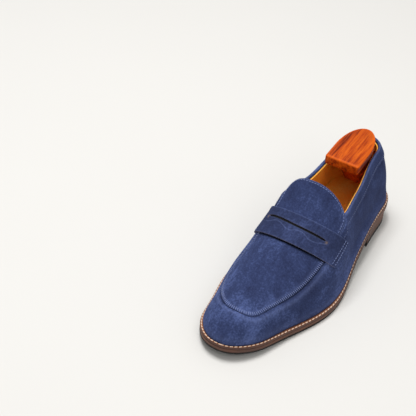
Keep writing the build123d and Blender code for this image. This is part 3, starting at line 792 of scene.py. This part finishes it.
# ---------------------------------------------------------------- collar band and back strip
collar_turn = side_turn(157.0)
collar_side = np.linspace(1, collar_turn, 90)
collar_turns = np.concatenate([-collar_side[::-1], np.linspace(-1, 1, 100)[1:-1], collar_side])


def below_mouth(turns, drops, clear=0.4):
    """Surface points at heights drops below the mouth's edge, and their outward normals."""
    rows = []
    limit = seam_radius(turns, clear)
    for drop in drops:
        radius = surface_radius(turns, top_line(turns) - drop)
        rows.append(on_rib(turns, np.maximum(radius, limit + 0.3 * drop)))
    points = np.stack(rows, 1)
    return points, normals(points)


# Section of the band as (drop below the edge, height off the wall), once round.
band_section = [(9.4, -1.5), (6.0, -2.1), (3.0, -2.2), (1.2, -2.1), (0.3, -1.6), (0.0, -0.8),
                (-0.05, 0.1), (0.1, 0.8), (0.6, 1.2), (1.4, 1.35), (3.0, 1.3), (5.0, 1.2),
                (7.0, 1.2), (8.2, 1.1), (8.8, 1.0), (9.3, 1.1), (10.2, 1.15), (10.8, 1.0),
                (11.05, 0.5), (11.0, -0.4)]
band_drops = np.array([d for d, _ in band_section])
band_lifts = np.array([h for _, h in band_section])
base_drops = np.linspace(0, 12, 25)
base_points, base_out = below_mouth(collar_turns, base_drops)
taper = 1 - 0.8 * smooth(np.abs(collar_turns), side_turn(143), side_turn(156))


def read_band(values, drops):
    """Values of the fine base grid at any drop, straight between its rows and past its top row."""
    at = np.clip(drops, 0, 11.99) / 0.5
    i = at.astype(int)
    t = (at - i)[None, :, None]
    extra = np.minimum(drops, 0)[None, :, None] * 2
    return values[:, i] * (1 - t) + values[:, i + 1] * t + extra * (values[:, 1:2] - values[:, 0:1])


collar_points = read_band(base_points, band_drops)
collar_points = collar_points + read_band(base_out, band_drops) * (
    np.where(band_lifts > 0, band_lifts * taper[:, None], band_lifts))[..., None]
count = len(band_section)
# Paler top and bottom edges of the band: partly wear, partly painted highlight.
band_wear_and_highlight = 0.35 * hump(band_drops, 0.2, 0.7) + 0.35 * hump(band_drops, 10.7, 0.5)
rub = np.tile(band_wear_and_highlight, (len(collar_turns), 1))
# Painted shade in the band's small step and under its tucked lower edge.
band_painted_shade = 0.45 * hump(band_drops, 8.8, 0.35) + 0.8 * (band_drops > 10.99) * (band_lifts < 0.2)
crease = np.tile(band_painted_shade, (len(collar_turns), 1))
faces = [f[::-1] for f in grid(len(collar_turns), count, closed_cols=True, caps=True)]
piece("collar_band_suede", collar_points, faces, [suede], "collar_band",
      marks={"rub": rub, "crease": crease}, sharp=70)

strip_turns = np.linspace(-STRIP_TURN, STRIP_TURN, 15)
strip_heights = np.linspace(79.0, SOLE_STACK + 18.5 + 0.6, 60)
strip_rows = [on_rib(strip_turns, surface_radius(strip_turns, np.full(15, z))) for z in strip_heights]
strip = np.stack(strip_rows, 1)
strip_edge = np.abs(strip_turns)[:, None] / STRIP_TURN * np.ones(60)
strip_points = strip + normals(strip) * (1.3 - 0.9 * smooth(strip_edge, 0.82, 1.0))[..., None]
# Paler side edges of the strip: partly wear, partly painted highlight.
backstay = piece("backstay_suede", strip_points, grid(15, 60), [suede, raw_edge], "backstay",
                 marks={"rub": 0.5 * hump(strip_edge, 1, 0.1), "crease": np.zeros(strip_edge.size)})
thicken(backstay, 1.3, 0.2, 1)

# ---------------------------------------------------------------- penny strap


def strap_point(a, u, offset):
    """Point at a mm from the strap's rear edge and u from the medial end to the lateral end.
    The station solves s = rear + a + bow (1 - u^2) - slope (top - z); w runs to the end line."""
    a, u = np.broadcast_arrays(np.asarray(a, float), np.asarray(u, float))
    z_end = STRAP_FOOT - STRAP_FOOT_RISE * a
    s_end = STRAP_REAR + a - STRAP_SLOPE * (STRAP_TOP - z_end)
    base = sole_line(s_end) + SOLE_STACK
    rise = np.clip((z_end - base) / (ridge(s_end, offset) - base), 0, 1)
    w = u * 2 / np.pi * np.arccos(rise ** (height_power(s_end) / 2))
    bow = STRAP_BOW * (1 - u * u)
    s = STRAP_REAR + a - 5.0
    for _ in range(40):
        z = form(s, w, offset)[..., 2]
        s = 0.4 * s + 0.6 * (STRAP_REAR + a + bow - STRAP_SLOPE * (STRAP_TOP - z))
    return form(s, w, offset)


u = np.linspace(-1, 1, 181)


def slit_gap(a, shift):
    p = strap_point(a, u, OVERLAY)
    return p[..., 0] < SLIT_AT + shift - SLIT_BOW * ((p[..., 1] - centre(p[..., 0])) / SLIT_HALF) ** 2


slit_rear = solve(lambda a: slit_gap(a, -1.1), u.shape, STRAP_WIDTH)
slit_front = solve(lambda a: slit_gap(a, 1.1), u.shape, STRAP_WIDTH)
slit_line = strap_point((slit_rear + slit_front) / 2, u, OVERLAY)
wave_v = (slit_line[:, 1] - centre(slit_line[:, 0])) / SLIT_HALF
slit_share = np.abs(wave_v)
open_part = np.clip(1 - slit_share ** 10, 0, 1) ** 0.5
middle = (slit_rear + slit_front) / 2
slit_rear = middle + (slit_rear - middle) * np.maximum(open_part, 0.08)
slit_front = middle + (slit_front - middle) * np.maximum(open_part, 0.08)
rear_rows = np.linspace(0, 1, 26)[:, None] * slit_rear
front_rows = slit_front + np.linspace(0, 1, 34)[:, None] * (STRAP_WIDTH - slit_front)
strap_a = np.concatenate([rear_rows, front_rows])
strap_u = np.broadcast_to(u, strap_a.shape)
strap = strap_point(strap_a, strap_u, OVERLAY)
strap_out = normals(strap)
middle_of_strap = 1 - smooth(np.abs(strap_u), 0.55, 0.95)
front_edge = smooth(strap_a, 24, STRAP_WIDTH)
rear_edge = 1 - smooth(strap_a, 0, 8)
slit_distance = np.where(strap_a <= slit_rear, slit_rear - strap_a, strap_a - slit_front)
near_slit = hump(slit_distance, 0, 1.6) * (slit_share < 1.0)
wave = 4.6 + 2.3 * np.cos(2 * np.pi * (wave_v + 0.18) / 0.86)
outline_mark = hump(strap_a - slit_front, wave, 0.5) * (np.abs(wave_v) < 1.04)
strap_lift = 1.3 * front_edge * middle_of_strap + 0.5 * rear_edge * middle_of_strap + 0.35 * near_slit
strap_points = strap + strap_out * (strap_lift - 0.25 * outline_mark + 0.6)[..., None]
hole = np.zeros((len(strap_a) - 1, len(u) - 1), bool)
hole[25] = (slit_share[:-1] < 1.0) & (slit_share[1:] < 1.0)
end_distance = (1 - np.abs(strap_u)) * 60
# Paler marks: painted highlight along the strap's rear and front edges, its ends and beside the slit,
# partly wear, and a paler moustache outline.
rub = (0.5 * outline_mark + 0.45 * hump(strap_a, 0, 0.8) + 0.15 * hump(strap_a, STRAP_WIDTH, 0.9)
       + 0.3 * hump(end_distance, 0, 0.9) + 0.1 * near_slit)
raw = hump(slit_share, 1.02, 0.03) * hump(strap_a - slit_front, 1.0, 1.6)
strap_piece = piece("penny_strap", strap_points, grid(*strap_a.shape, hole=hole),
                    [strap_suede, raw_edge], "strap",
                    marks={"rub": rub, "crease": np.zeros(strap_a.size), "raw": raw})
thicken(strap_piece, 1.5, 0.25, 1)

# ---------------------------------------------------------------- welt and outsole
RING_DEPTH = 3.8
ring = all_round(70, 90, 130)
ring_s, ring_y, ring_dx, ring_dy = rib(ring)
ring_out = reach(ring, WELT_WIDTH)
ring_feather = reach(ring, 0.0)
ring_in = reach(ring, -RING_DEPTH)


def round_sole(section):
    """Points of a section (share of the rib, mm past the feather line, height over the sole
    line) carried round the shoe."""
    share = np.array([p[0] for p in section])
    past = np.array([p[1] for p in section])
    high = np.array([p[2] for p in section])
    outward = ring_feather[:, None] + (ring_out - ring_feather)[:, None] * past / WELT_WIDTH
    inward = ring_feather[:, None] + (ring_feather - ring_in)[:, None] * past / RING_DEPTH
    radius = np.where(past >= 0, outward, inward) * share
    at = ring_s[:, None] + ring_dx[:, None] * radius
    across = ring_y[:, None] + ring_dy[:, None] * radius
    return np.stack([at, across, sole_line(at) + high], -1)


welt_section = [(1, past, high) for past, high in (
    (-3.0, 8.4), (-1.0, 8.5), (0.5, 8.5), (1.9, 8.5), (2.3, 8.3), (2.7, 8.1), (3.3, 8.1), (3.6, 8.3),
    (3.85, 8.35), (4.1, 8.0), (4.2, 7.4), (4.2, 6.4), (4.05, 5.9), (3.7, 5.65), (-3.0, 5.6))]
welt_points = round_sole(welt_section)
past = np.array([p[1] for p in welt_section])
ink = np.tile(np.where(past >= 3.8, 1.0, 0.0) + 0.8 * hump(past, 1.6, 0.7), (len(ring), 1))
piece("storm_welt", welt_points, [f[::-1] for f in grid(len(ring), len(welt_section), True, True)],
      [welt_leather], "welt", marks={"ink": ink}, sharp=60)

outsole_section = ([(k, WELT_WIDTH, OUTSOLE_TOP - 0.1) for k in np.linspace(0, 0.97, 9)]
                   + [(1, 3.8, 5.35), (1, 4.1, 5.0), (1, 4.2, 4.4), (1, 4.2, 2.6), (1, 4.1, 2.0),
                      (1, 3.8, 1.6)]
                   + [(k, WELT_WIDTH, RUBBER) for k in np.linspace(0.97, 0, 9)])
piece("outsole_leather", round_sole(outsole_section),
      [f[::-1] for f in grid(len(ring), len(outsole_section), True)], [sole_leather], "outsole",
      sharp=60)

# ---------------------------------------------------------------- stitching
welt_line = round_sole([(1, 3.05, 8.3)])[:, 0]
closed_line = np.vstack([welt_line, welt_line[:1]])
centres, forwards = spaced(closed_line, 4.3, 1.0)
ups = np.tile([0.0, 0.0, 1.0], (len(centres), 1))
slanted = forwards + 0.12 * np.cross(ups, forwards)
stitches("welt_stitches", centres, slanted, ups, 3.3, 1.35, 1.0, cream_thread, "welt_thread")


def around_apron(inset, lift):
    """Run of surface points inset from the apron's outline, with their normals."""
    line = apron_outline(-inset)
    return over_plan(line[:, 0], line[:, 1], lift)


seam_line, seam_out = around_apron(1.7, 0.45)
strap_front_s = STRAP_REAR + STRAP_WIDTH - STRAP_SLOPE * (STRAP_TOP - seam_line[:, 2])
ahead = seam_line[:, 0] > strap_front_s - 1.0
centres, forwards, ups = spaced(seam_line[ahead], 2.05, 0.9, seam_out[ahead])
across = unit(np.cross(forwards, ups)) + 0.25 * forwards
stitches("apron_stitches", centres, across, ups, 3.3, 0.7, 0.55, blue_thread, "apron_thread")

tongue_line, tongue_out = around_apron(1.9, 1.0)
half = len(tongue_line) // 2
behind = tongue_line[:, 0] < STRAP_REAR - 2
medial = [(tongue_line[:half])[behind[:half]][::-1], (tongue_out[:half])[behind[:half]][::-1]]
lateral = [(tongue_line[half:])[behind[half:]][::-1], (tongue_out[half:])[behind[half:]][::-1]]
rear_y = np.linspace(medial[0][-1][1], lateral[0][0][1], 40)[1:-1]
rear_line, rear_out = over_plan(np.full(38, TONGUE_AT + 1.9), rear_y, np.full(38, 1.0))
tongue_path = np.concatenate([medial[0], rear_line, lateral[0]])
tongue_ups = np.concatenate([medial[1], rear_out, lateral[1]])
centres, forwards, ups = spaced(tongue_path, 3.0, 1.0, tongue_ups)
stitches("tongue_stitches", centres, forwards, ups, 2.3, 0.65, 0.5, blue_thread, "tongue_thread")

row_points = read_band(base_points, np.array([9.0]))[:, 0]
row_ups = read_band(base_out, np.array([9.0]))[:, 0]
row_points = row_points + row_ups * (1.05 * taper)[:, None]
centres, forwards, ups = spaced(row_points, 3.0, 1.0, row_ups)
stitches("collar_stitches", centres, forwards, ups, 2.3, 0.7, 0.5, navy_thread, "collar_thread")

for name, inset in (("outer", 1.6), ("inner", 6.0)):
    runs = []
    for side in (-1, 1):
        a = np.linspace(1.5, STRAP_WIDTH - 1.0, 60)
        end = strap_point(a, np.full(60, side), OVERLAY)
        near = strap_point(a, np.full(60, side * 0.9), OVERLAY)
        step = np.linalg.norm(end - near, axis=1)
        u_row = side * (1 - 0.1 * inset / step)
        line = strap_point(a, u_row, OVERLAY)
        beside = strap_point(a, u_row - 0.01, OVERLAY)
        up = unit(np.cross(np.gradient(line, axis=0), line - beside))
        up = up * np.where(up[:, 2:3] < 0, -1, 1)
        runs.append(spaced(line + up * 0.75, 2.9, 0.6, up))
    centres, forwards, ups = (np.concatenate(values) for values in zip(*runs))
    stitches(f"strap_stitches_{name}", centres, forwards, ups, 2.2, 0.7, 0.5, blue_thread,
             f"strap_thread_{name}")

# ---------------------------------------------------------------- wooden heel block of the tree
BLOCK_FRONT = 84.0
BLOCK_BACK = 23.0
BLOCK_HALF = 18.5
BLOCK_TOP = 95.5
BLOCK_FOOT = 43.0
BLOCK_SLOPE = 6.0 / 61.0


def block_loop(back, front, half, inset, corner):
    """D-shaped loop: a straight front with rounded corners, straight sides, and an elliptical
    heel end (round - (round - back) sin a, half cos a), all drawn in by inset."""
    back, front, half = back + inset, front - inset, half - inset
    round_from = back + 0.62 * (front - back)
    angle = np.linspace(0, np.pi, 80)
    heel = np.stack([round_from - (round_from - back) * np.sin(angle), half * np.cos(angle)], -1)
    bend = np.linspace(0, np.pi / 2, 9)
    turn_at = front - corner
    flank = half - corner
    low = np.stack([turn_at + corner * np.sin(bend), -half + corner - corner * np.cos(bend)], -1)
    high = np.stack([turn_at + corner * np.cos(bend), flank + corner * np.sin(bend)], -1)
    side_low = np.stack([np.linspace(round_from, turn_at, 16)[1:-1], np.full(14, -half)], -1)
    side_high = np.stack([np.linspace(turn_at, round_from, 16)[1:-1], np.full(14, half)], -1)
    flat = np.stack([np.full(14, front), np.linspace(-half + corner, flank, 16)[1:-1]], -1)
    return np.concatenate([heel, side_low, low, flat, high, side_high])


# Levels of the block from the middle of its top down to its foot: back, front, half width,
# inset, and drop: below the sloping top on the plate, and from 0 to 1 down the neck.
levels = [(BLOCK_BACK, BLOCK_FRONT, BLOCK_HALF, inset, drop) for inset, drop in (
    (17.0, -0.5), (13.0, -0.45), (9.0, -0.35), (5.5, -0.2), (3.0, -0.05), (2.0, 0.0), (1.2, 0.25),
    (0.55, 0.65), (0.15, 1.2), (0.0, 2.0), (0.0, 4.5), (0.0, 7.2), (0.2, 8.0), (0.7, 8.6),
    (1.5, 8.95), (2.4, 9.0))]
plate_levels = len(levels)
levels += [(26 - 8 * k, 72 - 34 * k, 14 - 2 * k, 0.0, k) for k in np.linspace(0, 1, 12)]
levels += [(18, 38, 12.0, inset, 1.0 + 0.05 * inset) for inset in (1.5, 4.0, 7.0, 9.0)]
loops = []
for number, (back, front, half, inset, drop) in enumerate(levels):
    loop = block_loop(back, front, half, inset, corner=min(2.5, max(0.3, half - inset - 0.2)))
    top = BLOCK_TOP + (BLOCK_FRONT - loop[:, 0]) * BLOCK_SLOPE
    thick = 10.5 - 1.5 * (BLOCK_FRONT - loop[:, 0]) / (BLOCK_FRONT - BLOCK_BACK)
    if number < plate_levels:
        z = top - drop * thick / 9
    else:
        z = (top - thick) * max(1 - drop, 0) + BLOCK_FOOT * min(drop, 1) - max(drop - 1, 0)
    loops.append(np.stack([loop[:, 0], loop[:, 1] - 1.0, z], -1))
block = np.stack(loops, 0)
count = block.shape[1]
faces = grid(len(levels), count, closed_cols=True)
faces.append(np.arange(count)[::-1].tolist())
faces.append((np.arange(count) + (len(levels) - 1) * count).tolist())
insets = np.array([lv[3] for lv in levels])
drops = np.array([lv[4] if k < plate_levels else 99.0 for k, lv in enumerate(levels)])
# Painted highlight on the plate's bevelled top edge and, weaker, on its lower edge.
rub = np.repeat((hump(drops, 0.5, 0.6) * (insets < 3) + 0.5 * hump(drops, 8.6, 0.4))[:, None], count, 1)
piece("tree_heel_block", block, faces, [tree_wood], "tree_block", "tree",
      marks={"rub": rub}, sharp=60)

# ---------------------------------------------------------------- floor, light and camera
floor_mesh = bpy.data.meshes.new("floor")
floor_mesh.from_pydata([(-4, -4, 0), (4, -4, 0), (4, 4, 0), (-4, 4, 0)], [], [(0, 1, 2, 3)])
floor_paint = Finish("pale_floor")
tone = floor_paint.noise(6, 3.0, 0.5)
floor_mesh.materials.append(floor_paint.surface(
    Base_Color=floor_paint.blend(tone, (0.70, 0.69, 0.665, 1), (0.71, 0.70, 0.675, 1)), Roughness=0.9))
floor = bpy.data.objects.new("floor", floor_mesh)
bpy.context.scene.collection.objects.link(floor)

bpy.context.scene.view_settings.view_transform = "Standard"
world = bpy.data.worlds.new("studio")
bpy.context.scene.world = world
world.use_nodes = True
world.node_tree.nodes["Background"].inputs["Color"].default_value = (1.0, 0.99, 0.975, 1)
world.node_tree.nodes["Background"].inputs["Strength"].default_value = 0.5
LIGHT_AIM = Vector((0, 0, 0.05))


def studio_light(name, place, size, power):
    """Square soft light at place, pointed at the shoe."""
    data = bpy.data.lights.new(name, "AREA")
    data.size = size
    data.energy = power
    lamp = bpy.data.objects.new(name, data)
    lamp.location = place
    lamp.rotation_euler = (LIGHT_AIM - Vector(place)).to_track_quat("-Z", "Y").to_euler()
    bpy.context.scene.collection.objects.link(lamp)


studio_light("key_light", (-0.04, -0.38, 1.9), 0.75, 30)
studio_light("fill_light", (0.9, 0.9, 1.3), 0.8, 4)

CAMERA_AZIMUTH = 28.615
CAMERA_ELEVATION = 37.92
CAMERA_ROLL = -4.953
CAMERA_DISTANCE = 1.1826
CAMERA_AIM = Vector((-0.0315, -0.1279, 0.0))
az, el, roll = (math.radians(v) for v in (CAMERA_AZIMUTH, CAMERA_ELEVATION, CAMERA_ROLL))
away = Vector((math.cos(el) * math.cos(az), math.cos(el) * math.sin(az), math.sin(el)))
right = (-away).cross(Vector((0, 0, 1))).normalized()
up = right.cross(-away)
camera_x = math.cos(roll) * right - math.sin(roll) * up
camera_y = math.sin(roll) * right + math.cos(roll) * up
camera_data = bpy.data.cameras.new("camera")
camera_data.lens = 96.39
camera_data.sensor_width = 36.0
camera_data.clip_end = 50.0
camera = bpy.data.objects.new("camera", camera_data)
turn = Matrix((camera_x, camera_y, away)).transposed().to_4x4()
camera.matrix_world = Matrix.Translation(CAMERA_AIM + away * CAMERA_DISTANCE) @ turn
bpy.context.scene.collection.objects.link(camera)
bpy.context.scene.camera = camera
